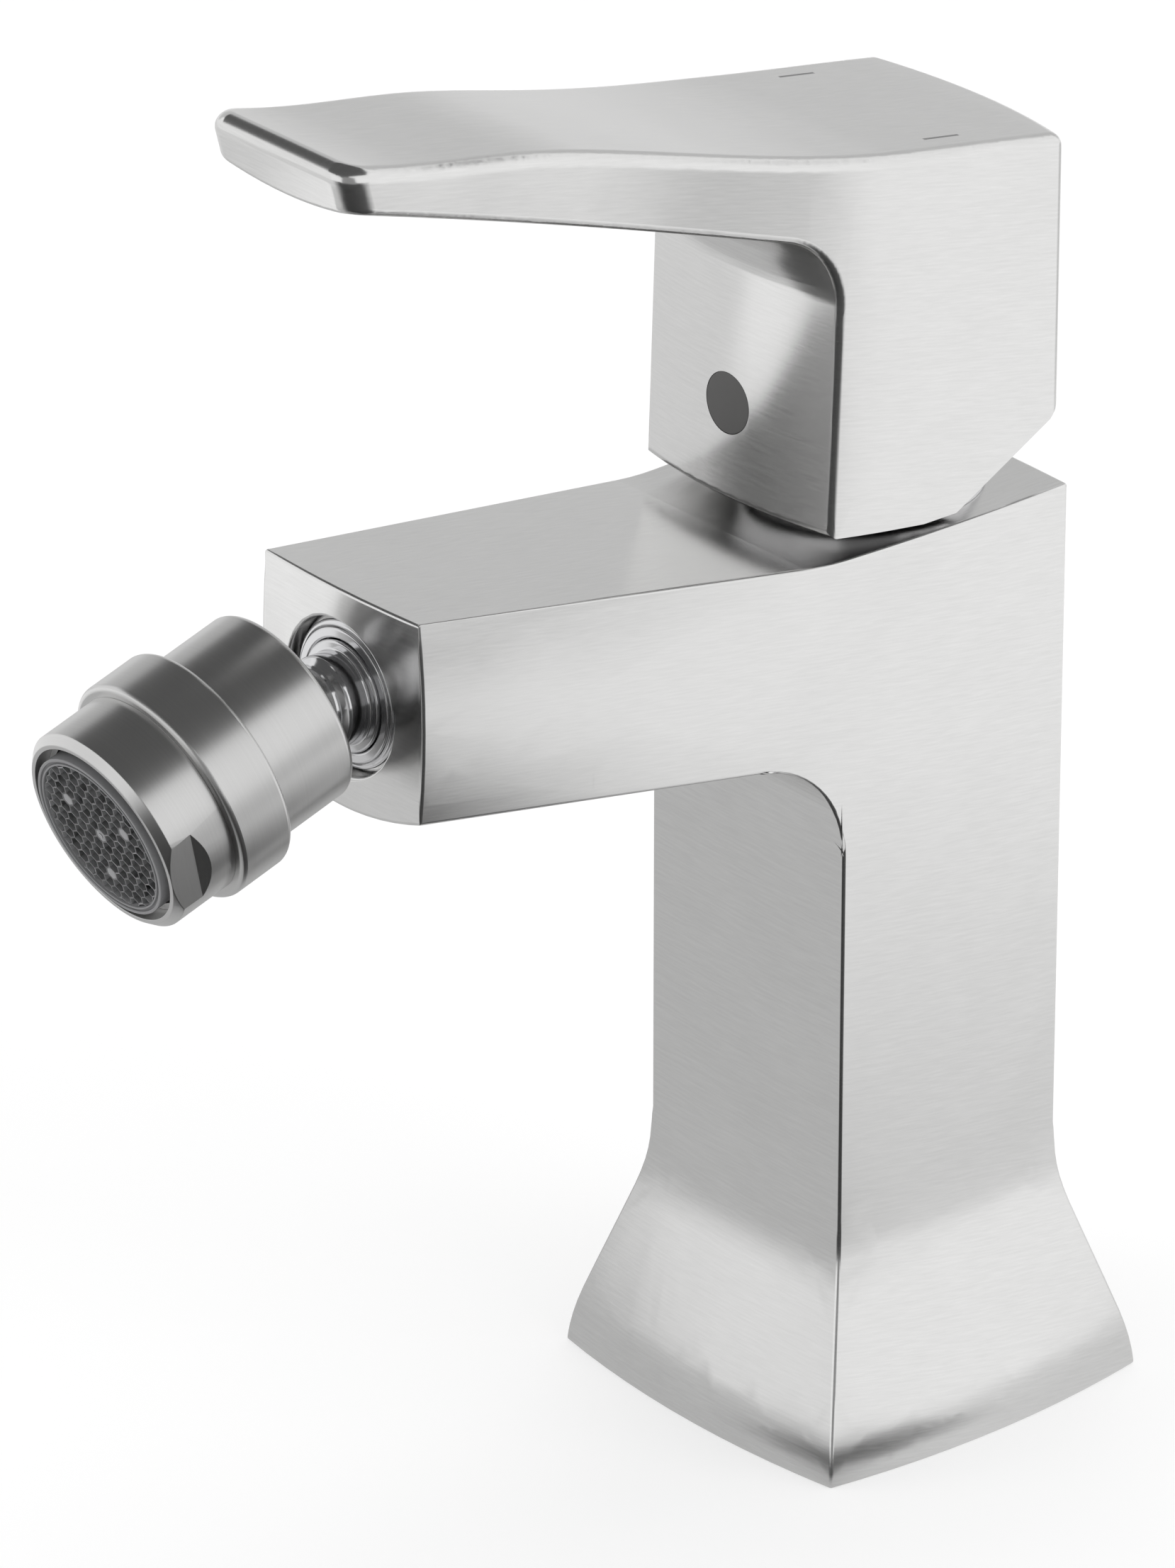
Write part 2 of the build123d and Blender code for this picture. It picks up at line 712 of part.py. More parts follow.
# Stem: ball, neck, blade with its eye, square
stem_blank = turned([(0, driven_height), (stem_neck, driven_height), (stem_neck, stem_neck_top),
               (0, stem_neck_top)], column_half, up_axis)
with BuildPart() as stem:
    add(stem_blank)
    with BuildSketch(column_half):
        with BuildLine():
            Line((0, driven_height + stem_ball), (0, driven_height - stem_ball))
            ThreePointArc((0, driven_height - stem_ball), (stem_ball, driven_height),
                          (0, driven_height + stem_ball))
        make_face()
    revolve(axis=up_axis)
    with BuildSketch(Plane.XY.offset(stem_neck_top)):
        Rectangle(stem_blade_x, stem_blade_y)
    extrude(amount=stem_shoulder - stem_neck_top)
    with BuildSketch(Plane.YZ):
        with Locations((0, pivot_height)):
            Circle(stem_eye)
    extrude(amount=stem_blade_x / 2, both=True)
    with BuildSketch(Plane.XY.offset(stem_shoulder)):
        Rectangle(stem_side, stem_side)
    extrude(amount=stem_top - stem_shoulder)
    with BuildSketch(Plane.YZ):
        with Locations((0, pivot_height)):
            Circle(pin_radius + running_gap)
    extrude(amount=stem_blade_x, both=True, mode=Mode.SUBTRACT)
keep(stem, "stem")

# Domed cover: a zone of a sphere about the stem's pivot, with a screwed collar
dome_inner = dome_sphere - cover_wall
dome_top = pivot_height + sqrt(dome_sphere**2 - cover_opening**2)
dome_lip = pivot_height + sqrt(dome_inner**2 - cover_opening**2)
dome_root = pivot_height + sqrt(dome_inner**2 - collar_inner**2)
dome_mid = asin(cover_opening / dome_sphere) / 2 + asin(cover_radius / dome_sphere) / 2
with BuildPart() as dome_cover:
    with BuildSketch(column_half):
        with BuildLine():
            Polyline((collar_inner, dome_root), (collar_inner, collar_low), (nut_radius, collar_low),
                     (nut_radius, top_height), (cover_radius, top_height))
            ThreePointArc((cover_radius, top_height),
                          (dome_sphere * sin(dome_mid), pivot_height + dome_sphere * cos(dome_mid)),
                          (cover_opening, dome_top))
            Line((cover_opening, dome_top), (cover_opening, dome_lip))
            ThreePointArc((cover_opening, dome_lip),
                          (dome_inner * sin(dome_mid), pivot_height + dome_inner * cos(dome_mid)),
                          (collar_inner, dome_root))
        make_face()
    revolve(axis=up_axis)
keep(dome_cover, "dome_cover")

# Handle: the front, the throat and the underside of the lever are one bulged strip
throat_y = handle_front - handle_lean
turned_by = radians(throat_turn)
throat_end = (-throat_y - throat_radius * (1 - cos(turned_by)),
              handle_throat + throat_radius * sin(turned_by))
strip_half = handle_half + overrun
strip_edge = handle_crown * ((strip_half / handle_half)**2 - 1)
front_rise = handle_throat - handle_front_height
front_lean_low = handle_front + handle_lean * handle_depth / front_rise
strip_low = (0, -front_lean_low, handle_front_height - handle_depth)
strip_dir = (0, handle_lean, front_rise)
past_tip = lever_reach + handle_depth / 2
past_tip_height = lever_under + (past_tip - lever_end) * top_slope
with BuildPart() as strip:
    with BuildLine(Plane.YZ) as route:
        rise = Line((-front_lean_low, handle_front_height - handle_depth), (-throat_y, handle_throat))
        curl = TangentArc(rise @ 1, throat_end, tangent=rise % 1)
        TangentArc(curl @ 1, (-past_tip, past_tip_height), tangent=curl % 1)
    with BuildSketch(Plane(origin=strip_low, x_dir=(1, 0, 0), z_dir=strip_dir)):
        with BuildLine():
            ThreePointArc((-strip_half, strip_edge), (0, -handle_crown), (strip_half, strip_edge))
            Polyline((strip_half, strip_edge), (strip_half, handle_depth),
                     (-strip_half, handle_depth), (-strip_half, strip_edge))
        make_face()
    sweep()

# Handle: side outline, generous where the strip or the back is the surface
roof_points = [(handle_back - (handle_back + lever_reach) * place,
                handle_top_back + (lever_top - handle_top_back) * climb)
               for place, climb in zip(top_place_shares, top_climb_shares)]
tip_low_y = lever_reach - tip_slant * 2
tip_low = lever_top - (tip_thickness + handle_crown) * 2
chin_far = handle_front + handle_crown * 2
chin_far_height = handle_front_height + chin_rise * (chin_far - handle_front) / chin_run
with BuildPart() as limits:
    with BuildSketch(Plane.YZ.offset(-half * 2)):
        with BuildLine():
            Spline((roof_back, handle_top_back), *roof_points, (-lever_reach, lever_top))
            Polyline((-lever_reach, lever_top), (-tip_low_y, tip_low), (-tip_low_y, chin_far_height),
                     (-chin_far, chin_far_height), (-chin_y, handle_low),
                     (0, handle_low), (heel_y, heel_height), (roof_back, heel_height + roof_back - heel_y),
                     (roof_back, handle_top_back))
        make_face()
    extrude(amount=half * 4)

# Handle: plan outline
sides = [(lever_half + (handle_half - lever_half) * width, -lever_reach * place)
         for place, width in zip(side_place_shares, side_width_shares)]
with BuildPart() as handle:
    with BuildSketch(Plane.XY.offset(handle_low - overrun)):
        with BuildLine():
            ThreePointArc((-handle_half, handle_back), (0, handle_back + back_crown),
                          (handle_half, handle_back))
            flank = Line((handle_half, handle_back), sides[0])
            run = flank % 1
            Spline(*sides, (lever_half, -past_tip), tangents=[run, (0, -1)])
            Line((lever_half, -past_tip), (-lever_half, -past_tip))
            Spline((-lever_half, -past_tip), *[(-x, y) for x, y in sides[::-1]],
                   tangents=[(0, 1), (run.X, -run.Y)])
            Line((-sides[0][0], sides[0][1]), (-handle_half, handle_back))
        make_face()
    extrude(amount=lever_top - handle_low + 2 * overrun)
    add(limits.part, mode=Mode.INTERSECT)
core_depth = handle_depth / 2
under_turn = past_tip_height - throat_end[1]
under_run = past_tip + throat_end[0]
core_front = throat_y - core_depth
core_corner = throat_end[1] + core_depth - under_turn * (-throat_end[0] - core_front) / under_run
with BuildPart() as core:
    with BuildSketch(Plane.YZ.offset(-half * 2)):
        with BuildLine():
            Polyline((-core_front, handle_front_height - handle_depth),
                     (handle_back * 2, handle_front_height - handle_depth),
                     (handle_back * 2, lever_top + handle_depth),
                     (-past_tip, lever_top + handle_depth),
                     (-past_tip, past_tip_height + core_depth),
                     (throat_end[0], throat_end[1] + core_depth),
                     (-core_front, core_corner), close=True)
        make_face()
    extrude(amount=half * 4)
with BuildPart() as shell:
    add(strip.part)
    add(core.part)
with handle:
    add(shell.part, mode=Mode.INTERSECT)
    # rounded edges, the upright ones first
    fillet(ends_of(handle.faces().sort_by(Axis.Y)[0]), tip_round)
    fillet(ends_of(handle.faces().sort_by(Axis.Y)[-1]), back_round)
    roof = [face for face in handle.faces() if face.normal_at().Z > cos(radians(sharp_angle))]
    fillet(max(roof, key=lambda face: face.area).edges(), roof_round)
    fillet([edge for edge in sharp_edges(handle.part) if edge.center().Y < -throat_y], rim_round)

# Handle: hollow about the stem's head, cavity for the dome, screw and plug holes
plug_face = handle_front + handle_crown + overrun
access_radius = screw_radius + running_gap * 2
plug_floor = handle_front + handle_crown - plug_depth - handle_lean * \
    (screw_height - handle_front_height) / front_rise
with BuildPart() as plug_blank:
    add(handle.part)
with handle:
    with BuildSketch(Plane.XY.offset(pivot_height)):
        Circle(hollow_radius)
        Circle(boss_radius, mode=Mode.SUBTRACT)
    extrude(amount=hollow_top - pivot_height, mode=Mode.SUBTRACT)
    with BuildSketch(column_half):
        with BuildLine():
            Line((0, pivot_height + cavity_sphere), (0, pivot_height - cavity_sphere))
            ThreePointArc((0, pivot_height - cavity_sphere), (cavity_sphere, pivot_height),
                          (0, pivot_height + cavity_sphere))
        make_face()
    revolve(axis=up_axis, mode=Mode.SUBTRACT)
    with BuildSketch(Plane.XY.offset(pivot_height)):
        Rectangle(stem_side + 2 * fit_gap, stem_side + 2 * fit_gap)
    extrude(amount=stem_top + running_gap - pivot_height, mode=Mode.SUBTRACT)
    with BuildSketch(column_half):
        with Locations((0, screw_height)):
            Circle(access_radius)
    extrude(amount=plug_face, mode=Mode.SUBTRACT)
    with BuildSketch(Plane.XZ.offset(plug_floor)):
        with Locations((0, screw_height)):
            Circle(plug_radius + fit_gap)
    extrude(amount=plug_face - plug_floor, mode=Mode.SUBTRACT)

with plug_blank:
    with BuildSketch(Plane.XZ.offset(plug_floor)):
        with Locations((0, screw_height)):
            Circle(plug_radius)
    extrude(amount=plug_face - plug_floor, mode=Mode.INTERSECT)
    with BuildSketch(Plane.XZ.offset(plug_floor)):
        with Locations((0, screw_height)):
            Circle(access_radius - fit_gap)
    extrude(amount=-plug_tail)
keep(plug_blank, "indicator_plug")

screw_start = stem_side / 2
with BuildPart() as grub_screw:
    with BuildSketch(Plane.XZ.offset(screw_start)):
        with Locations((0, screw_height)):
            Circle(screw_radius)
    extrude(amount=screw_length)
    with BuildSketch(Plane.XZ.offset(screw_start + screw_length)):
        with Locations((0, screw_height)):
            RegularPolygon(key_size / 2, 6, major_radius=False)
    extrude(amount=-key_depth, mode=Mode.SUBTRACT)
keep(grub_screw, "grub_screw")

# Strokes in the lever's top: the same band below the surface, cut out and filled
with BuildPart() as band:
    with BuildSketch(Plane.YZ):
        with BuildLine():
            Spline((roof_back, handle_top_back), *roof_points, (-lever_reach, lever_top))
            Line((-lever_reach, lever_top), (-lever_reach, lever_top - mark_depth))
            Spline((-lever_reach, lever_top - mark_depth),
                   *[(y, z - mark_depth) for y, z in roof_points[::-1]],
                   (roof_back, handle_top_back - mark_depth))
            Line((roof_back, handle_top_back - mark_depth), (roof_back, handle_top_back))
        make_face()
    extrude(amount=half * 2, both=True)
with BuildPart() as handle_marks:
    with BuildSketch(Plane.XY.offset(handle_throat)):
        with Locations((mark_x, mark_y), (-mark_x, mark_y)):
            Rectangle(mark_width, mark_length)
    extrude(amount=lever_top - handle_throat)
    add(band.part, mode=Mode.INTERSECT)
with handle:
    add(handle_marks.part, mode=Mode.SUBTRACT)
keep(handle, "handle")
keep(handle_marks, "handle_marks")

# Ball nipple, its gasket and the rosette round it
shank_full = shank_start + nipple_shank - nipple_neck
ball_nipple_blank = turned([(0, 0), (nipple_neck, 0), (nipple_neck, shank_start),
                            (nipple_shank, shank_full), (nipple_shank, flange_back - flange_height),
                            (nipple_flange, flange_back - flange_height),
                            (nipple_flange, flange_back), (nipple_thread, flange_back),
                            (nipple_thread, flange_back + gasket_height + thread_length),
                            (0, flange_back + gasket_height + thread_length)],
                           nipple_half, nipple_axis)
with BuildPart() as ball_nipple:
    add(ball_nipple_blank)
    with BuildSketch(nipple_half):
        with BuildLine():
            Line((0, ball_radius), (0, -ball_radius))
            ThreePointArc((0, -ball_radius), (ball_radius, 0), (0, ball_radius))
        make_face()
    revolve(axis=nipple_axis)
    with BuildSketch(nipple_plane.offset(-ball_radius)):
        Circle(nipple_bore)
    extrude(amount=ball_radius * 2 + recess_floor + thread_length, mode=Mode.SUBTRACT)
keep(ball_nipple, "ball_nipple")

nipple_gasket_blank = turned(tube(nipple_thread + fit_gap, nipple_flange, flange_back, recess_floor),
                             nipple_half, nipple_axis)
with BuildPart() as nipple_gasket:
    add(nipple_gasket_blank)
keep(nipple_gasket, "nipple_gasket")

rosette_inner = nipple_flange + running_gap
rosette_outer = recess_radius - rosette_gap
rosette_front = recess_floor - recess_depth + rosette_sink
nipple_collar_blank = turned([(rosette_inner, recess_floor - running_gap),
                              (rosette_inner, rosette_front - rosette_step),
                              (rosette_inner + rosette_wall, rosette_front - rosette_step),
                              (rosette_inner + rosette_wall, rosette_front),
                              (rosette_outer, rosette_front),
                              (rosette_outer, recess_floor - running_gap)],
                             nipple_half, nipple_axis)
with BuildPart() as nipple_collar:
    add(nipple_collar_blank)
keep(nipple_collar, "nipple_collar")

# Outlet: socket with barrel and sleeve in one
outline = [(cage_radius + running_gap, seat_start),
           (cage_radius + running_gap, cage_end), (thread_radius + fit_gap, cage_end),
           (thread_radius + fit_gap, sleeve_end), (sleeve_radius - sleeve_round / 2, sleeve_end),
           (sleeve_radius, sleeve_end - sleeve_round / 2),
           (sleeve_radius, barrel_end + sleeve_round)]
with BuildPart() as socket_body:
    with BuildSketch(outlet_half):
        with BuildLine():
            Polyline(*outline)
            ThreePointArc((sleeve_radius, barrel_end + sleeve_round),
                          (sleeve_radius - sleeve_round / 3, barrel_end + sleeve_round / 3),
                          (sleeve_radius - sleeve_round, barrel_end))
            Polyline((sleeve_radius - sleeve_round, barrel_end), (barrel_radius, barrel_end),
                     (barrel_radius, -socket_back + barrel_round))
            ThreePointArc((barrel_radius, -socket_back + barrel_round),
                          (barrel_radius - barrel_round / 3, -socket_back + barrel_round / 3),
                          (barrel_radius - barrel_round, -socket_back))
            Polyline((barrel_radius - barrel_round, -socket_back), (socket_mouth, -socket_back),
                     (lip_radius, -socket_wrap))
            ThreePointArc((lip_radius, -socket_wrap), (ball_mouth, 0),
                          (sqrt(ball_mouth**2 - seat_start**2), seat_start))
            Line((sqrt(ball_mouth**2 - seat_start**2), seat_start),
                 (cage_radius + running_gap, seat_start))
        make_face()
    revolve(axis=outlet_axis)
keep(socket_body, "socket_body")

seat_end = seat_start + seat_height
with BuildPart() as ball_seat:
    with BuildSketch(outlet_half):
        with BuildLine():
            Polyline((sqrt(ball_mouth**2 - (seat_start + running_gap)**2), seat_start + running_gap),
                     (cage_radius, seat_start + running_gap),
                     (cage_radius, seat_end - running_gap),
                     (sqrt(ball_mouth**2 - (seat_end - running_gap)**2), seat_end - running_gap))
            ThreePointArc((sqrt(ball_mouth**2 - (seat_end - running_gap)**2), seat_end - running_gap),
                          (sqrt(ball_mouth**2 - (seat_start + seat_height / 2)**2),
                           seat_start + seat_height / 2),
                          (sqrt(ball_mouth**2 - (seat_start + running_gap)**2),
                           seat_start + running_gap))
        make_face()
    revolve(axis=outlet_axis)
keep(ball_seat, "ball_seat")

seat_retainer_blank = turned(tube(retainer_bore, cage_radius + fit_gap, seat_end, cage_end),
                             outlet_half, outlet_axis)
with BuildPart() as seat_retainer:
    add(seat_retainer_blank)
keep(seat_retainer, "seat_retainer")

aerator_washer_blank = turned(tube(washer_bore, thread_radius - running_gap, cage_end, washer_end),
                              outlet_half, outlet_axis)
with BuildPart() as aerator_gasket:
    add(aerator_washer_blank)
keep(aerator_gasket, "aerator_gasket")

# Outlet: aerator housing with two spanner flats
aerator_housing_blank = turned([(housing_bore, housing_rear), (thread_radius, housing_rear),
                                (thread_radius, sleeve_end), (housing_outer, sleeve_end),
                                (housing_outer, outlet_face - face_chamfer),
                                (housing_outer - face_chamfer, outlet_face),
                                (face_bore, outlet_face),
                                (face_bore, outlet_face - face_bore_depth),
                                (housing_bore, outlet_face - face_bore_depth)],
                               outlet_half, outlet_axis)
with BuildPart() as aerator_housing:
    add(aerator_housing_blank)
    for turn in (flat_turn, flat_turn + 180):
        flat_side = Plane(origin=ball_centre, x_dir=outlet_plane.x_dir.rotate(outlet_axis, turn),
                          z_dir=Vector(outlet_side).rotate(outlet_axis, turn))
        with BuildSketch(flat_side):
            with BuildLine():
                Polyline((flat_depth, outlet_face + overrun), (flat_depth, flat_end),
                         (flat_depth + flat_cut * 2, flat_end - flat_runout * 2),
                         (flat_depth + flat_cut * 2, outlet_face + overrun), close=True)
            make_face()
        extrude(amount=housing_outer, both=True, mode=Mode.SUBTRACT)
keep(aerator_housing, "aerator_housing")

# Outlet: insert with its flange, cell plate and sieve
aerator_insert_blank = turned([(plate_radius, washer_end), (insert_flange, washer_end),
                               (insert_flange, housing_rear), (insert_radius, housing_rear),
                               (insert_radius, insert_front), (groove_out, insert_front),
                               (groove_out, insert_front - rim_groove_depth),
                               (groove_in, insert_front - rim_groove_depth),
                               (groove_in, insert_front), (plate_radius, insert_front)],
                              outlet_half, outlet_axis)
with BuildPart() as aerator_insert:
    add(aerator_insert_blank)
keep(aerator_insert, "aerator_insert")

closed_cells = [(0, 0), (2, 2), (2, -4), (-4, 2)]      # by row and by place in the row
reach_cells = int(plate_radius / cell_pitch) + 1
turn = radians(cell_turn)
cells = []
for row in range(-reach_cells, reach_cells + 1):
    for place in range(-2 * reach_cells, 2 * reach_cells + 1):
        x = (place + row / 2) * cell_pitch
        y = row * cell_pitch * sqrt(3) / 2
        if sqrt(x**2 + y**2) < plate_radius - cell_pitch * 0.6 and (row, place) not in closed_cells:
            cells.append((x * cos(turn) - y * sin(turn), x * sin(turn) + y * cos(turn)))
with BuildPart() as honeycomb:
    with BuildSketch(outlet_plane.offset(plate_front - plate_height)):
        Circle(plate_radius - fit_gap)
        with Locations(*cells):
            RegularPolygon(cell_size / 2, 6, major_radius=False, rotation=30 + cell_turn, mode=Mode.SUBTRACT)
    extrude(amount=plate_height)
keep(honeycomb, "honeycomb")

reach_holes = int(plate_radius / screen_pitch) + 1
holes = []
for row in range(-reach_holes, reach_holes + 1):
    for place in range(-reach_holes, reach_holes + 1):
        x = (place + row / 2) * screen_pitch
        y = row * screen_pitch * sqrt(3) / 2
        if sqrt(x**2 + y**2) < plate_radius - screen_pitch / 2:
            holes.append((x, y))
with BuildPart() as flow_screen:
    with BuildSketch(outlet_plane.offset(plate_front - plate_height - screen_back - screen_height)):
        Circle(plate_radius - fit_gap)
        with Locations(*holes):
            Circle(screen_hole, mode=Mode.SUBTRACT)
    extrude(amount=screen_height)
keep(flow_screen, "flow_screen")
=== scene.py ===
# %% [markdown]
# # A single-lever bidet mixer
# The mixer is a brushed casting on a square foot, with a long flat lever above and a
# small swivelling outlet in front. The measured solids come in as a fixed frame, and
# everything here dresses them: smooth copies of the visible pieces with real edge
# radii, a cell plate, finishes, a camera and a soft studio.

# %% Frame
import math
import bpy
import bmesh
from mathutils import Euler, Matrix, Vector


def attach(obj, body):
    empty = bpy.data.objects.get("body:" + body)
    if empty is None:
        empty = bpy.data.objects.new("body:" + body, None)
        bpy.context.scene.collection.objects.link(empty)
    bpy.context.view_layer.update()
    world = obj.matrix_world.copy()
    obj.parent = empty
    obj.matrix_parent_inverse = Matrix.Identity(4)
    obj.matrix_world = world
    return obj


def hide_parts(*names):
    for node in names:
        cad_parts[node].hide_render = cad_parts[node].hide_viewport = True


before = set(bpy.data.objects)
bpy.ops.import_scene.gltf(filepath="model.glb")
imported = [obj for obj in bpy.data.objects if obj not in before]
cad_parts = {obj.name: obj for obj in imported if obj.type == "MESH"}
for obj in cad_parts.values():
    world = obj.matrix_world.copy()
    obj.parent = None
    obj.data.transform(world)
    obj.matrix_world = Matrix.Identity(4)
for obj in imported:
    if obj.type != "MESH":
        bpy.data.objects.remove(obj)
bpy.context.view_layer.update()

# %% [markdown]
# ## Expressions for shader maths
# A finish is mostly arithmetic on a few textures. Wrapping a socket in a small class
# lets that arithmetic be written as Python expressions instead of long lists of links.


# %% Shader sockets as expressions
class Wave:
    """A value in a material's node tree that can be added, scaled and compared."""

    def __init__(self, finish, socket):
        self.finish, self.socket = finish, socket

    def _math(self, operation, *values):
        return self.finish.node("ShaderNodeMath", {"operation": operation}, values)

    def __add__(self, other):
        return self._math("ADD", self, other)

    def __radd__(self, other):
        return self._math("ADD", other, self)

    def __sub__(self, other):
        return self._math("SUBTRACT", self, other)

    def __rsub__(self, other):
        return self._math("SUBTRACT", other, self)

    def __mul__(self, other):
        return self._math("MULTIPLY", self, other)

    def __rmul__(self, other):
        return self._math("MULTIPLY", other, self)

    def __truediv__(self, other):
        return self._math("DIVIDE", self, other)

    def __rtruediv__(self, other):
        return self._math("DIVIDE", other, self)

    def __gt__(self, other):
        return self._math("GREATER_THAN", self, other)


class Finish:
    """A material with one Principled shader and helpers that add nodes to it."""

    def __init__(self, name, **uniform):
        self.material = bpy.data.materials.new(name)
        self.material.use_nodes = True
        self.nodes = self.material.node_tree.nodes
        self.links = self.material.node_tree.links
        self.shader = self.nodes["Principled BSDF"]
        for key, value in uniform.items():
            self.shader.inputs[key.replace("_", " ")].default_value = value

    def node(self, kind, settings=None, values=(), output=0):
        """Any node, from its type, its settings and the values or links of its sockets."""
        made = self.nodes.new(kind)
        for key, value in (settings or {}).items():
            setattr(made, key, value)
        pairs = values.items() if isinstance(values, dict) else enumerate(values)
        for key, value in pairs:
            if isinstance(value, Wave):
                self.links.new(value.socket, made.inputs[key])
            else:
                made.inputs[key].default_value = value
        return Wave(self, made.outputs[output])

    def feed(self, socket, wave):
        self.links.new(wave.socket, self.shader.inputs[socket])

    def place(self):
        """Object coordinates, and their three parts."""
        coordinates = self.node("ShaderNodeTexCoord", output="Object")
        split = self.node("ShaderNodeSeparateXYZ", values=[coordinates]).socket.node
        return coordinates, [Wave(self, split.outputs[axis]) for axis in "XYZ"]

    def vector(self, x, y, z):
        return self.node("ShaderNodeCombineXYZ", values=[x, y, z])

    def length(self, vector):
        return self.node("ShaderNodeVectorMath", {"operation": "LENGTH"}, [vector],
                         output="Value")

    def noise(self, vector, scale, detail=3.0, roughness=0.6):
        return self.node("ShaderNodeTexNoise", {"noise_dimensions": "3D"},
                         {"Vector": vector, "Scale": scale, "Detail": detail,
                          "Roughness": roughness})

    def mix(self, share, low, high):
        """A colour between two colours."""
        return self.node("ShaderNodeMix", {"data_type": "RGBA"},
                         {"Factor": share, "A": low, "B": high}, output="Result")

    def ramp(self, value, start, end, low=0.0, high=1.0):
        """A smooth passage from low to high while the value goes from start to end."""
        return self.node("ShaderNodeMapRange", {"interpolation_type": "SMOOTHSTEP"},
                         [value, start, end, low, high])

    def bump(self, height, strength, distance):
        self.feed("Normal", self.node("ShaderNodeBump", values={
            "Strength": strength, "Distance": distance, "Height": height}))


def paint(colour, share=1.0):
    """A colour with its alpha, darkened to a share of its own level."""
    return tuple(share * c for c in colour) + (1,)


# %% [markdown]
# ## Brushed nickel
# The metal is drawn with a fine belt before it is plated, so its short scratches all
# run one way: along the slope of the spout or of the lever on tops and sides, level on
# the fronts, and round the outlet. They are very faint, a slight change of tone and of
# roughness, because the plating lies over them. A noise that is squeezed in one
# direction gives such strokes without a picture, at any distance.

# %% Brushed finishes
FINE = 3600.0               # scratches per metre
LONG = 0.07                 # how much slower the pattern changes along a scratch
CLOUDS = 60.0               # per metre, the slow changes of tone between strokes
SCRATCH_SHARE = 0.7         # of the tone; the clouds have the rest
TONE_LOW, TONE_HIGH = 0.3, 0.7      # where the noise mostly lies
ROUGH_SPREAD = 0.06
SCRATCH_DEPTH = 0.00002
TOP_SLANT = 0.7             # a face whose normal points up by more than this is a top
NICKEL_DARK = (0.735, 0.733, 0.728)
NICKEL_LIGHT = (0.805, 0.803, 0.798)


def scratches_on_slope(finish, slope):
    """Strokes along a slope on sides and tops, and level on fronts."""
    _, (x, y, z) = finish.place()
    normal = finish.node("ShaderNodeTexCoord", output="Normal")
    parts = finish.node("ShaderNodeSeparateXYZ", values=[normal]).socket.node
    is_top = Wave(finish, parts.outputs["Z"]) > TOP_SLANT
    across = z + y * slope
    upright = finish.noise(finish.vector(x * LONG, y * LONG, across), FINE)
    flat = finish.noise(finish.vector(x, y * LONG, across * LONG), FINE)
    return upright + (flat - upright) * is_top


def scratches_round(finish, centre, axis):
    """Strokes that run round an axis through a centre."""
    coordinates, _ = finish.place()
    offset = finish.node("ShaderNodeVectorMath", {"operation": "SUBTRACT"},
                         [coordinates, centre])
    along = finish.node("ShaderNodeVectorMath", {"operation": "DOT_PRODUCT"},
                        [offset, axis], output="Value")
    return finish.noise(finish.vector(along, finish.length(offset), 0.0), FINE)


def brushed(name, strokes, *lie, rough=0.2, bump=0.02, shade=1.0):
    """Nickel with strokes that one of the two functions above draws. A shade below one darkens
    both tones, which is painted shade.
    """
    finish = Finish(name, Metallic=1.0, Roughness=rough)
    scratches = strokes(finish, *lie)
    clouds = finish.noise(finish.place()[0], CLOUDS, detail=2.0)
    share = scratches * SCRATCH_SHARE + clouds * (1 - SCRATCH_SHARE)
    tone = finish.node("ShaderNodeMapRange", values=[share, TONE_LOW, TONE_HIGH, 0.0, 1.0])
    finish.feed("Base Color", finish.mix(tone, paint(NICKEL_DARK, shade),
                                         paint(NICKEL_LIGHT, shade)))
    finish.feed("Roughness", rough - ROUGH_SPREAD / 2 + scratches * ROUGH_SPREAD)
    finish.bump(scratches, bump, SCRATCH_DEPTH)
    return finish.material


SPOUT_SLOPE = 0.144         # rise per metre forward
LEVER_SLOPE = 0.2
BALL_REACH, BALL_HEIGHT = 0.0956, 0.116504      # centre of the outlet's ball joint
OUTLET_DROP = math.radians(18)                  # of the outlet's axis below level
ball_centre = Vector((0, -BALL_REACH, BALL_HEIGHT))
outlet_axis = Vector((0, -math.cos(OUTLET_DROP), -math.sin(OUTLET_DROP)))
nickel_spout = brushed("nickel_brushed_along_spout", scratches_on_slope, SPOUT_SLOPE)
nickel_lever = brushed("nickel_brushed_along_lever", scratches_on_slope, LEVER_SLOPE)
# The outlet's nickel is the body's nickel darkened to 0.86: painted shade.
nickel_round = brushed("nickel_brushed_round", scratches_round, ball_centre, outlet_axis,
                       rough=0.3, shade=0.86)
print("brushed finishes", nickel_spout.name, nickel_lever.name, nickel_round.name)

# %% [markdown]
# ## Polished chrome, plastics, ceramic and rubber
# The rings in the spout's front and the dome under the handle are polished, with only
# faint wiping marks. The outlet's insert is moulded in dark plastic with a fine grain.
# Two functions cover them all, because polished pieces differ only in colour and
# sharpness, and moulded ones in colour, gloss and the size of their grain.

# %% Other finishes
WIPES = 420.0               # wiping marks per metre
WIPED = 0.94                # tone of a wiping mark beside the clean metal
GRAIN = 900.0               # grains per metre on a moulded skin
GRAIN_DEPTH = 0.00005
GRAIN_STRENGTH = 0.06
BLOTCHES = GRAIN / 12       # per metre, slower changes of the skin's tone
SKIN_SHARE = 0.6            # of the tone; the blotches have the rest
SKIN_GAIN, SKIN_OFFSET = 1.25, 0.004        # from a skin's dark tone to its light one


def polished(name, colour, rough):
    finish = Finish(name, Metallic=1.0)
    wipes = finish.noise(finish.place()[0], WIPES, detail=4.0)
    finish.feed("Base Color", finish.mix(wipes, paint(colour, WIPED), paint(colour)))
    finish.feed("Roughness", rough + wipes * rough)
    return finish.material


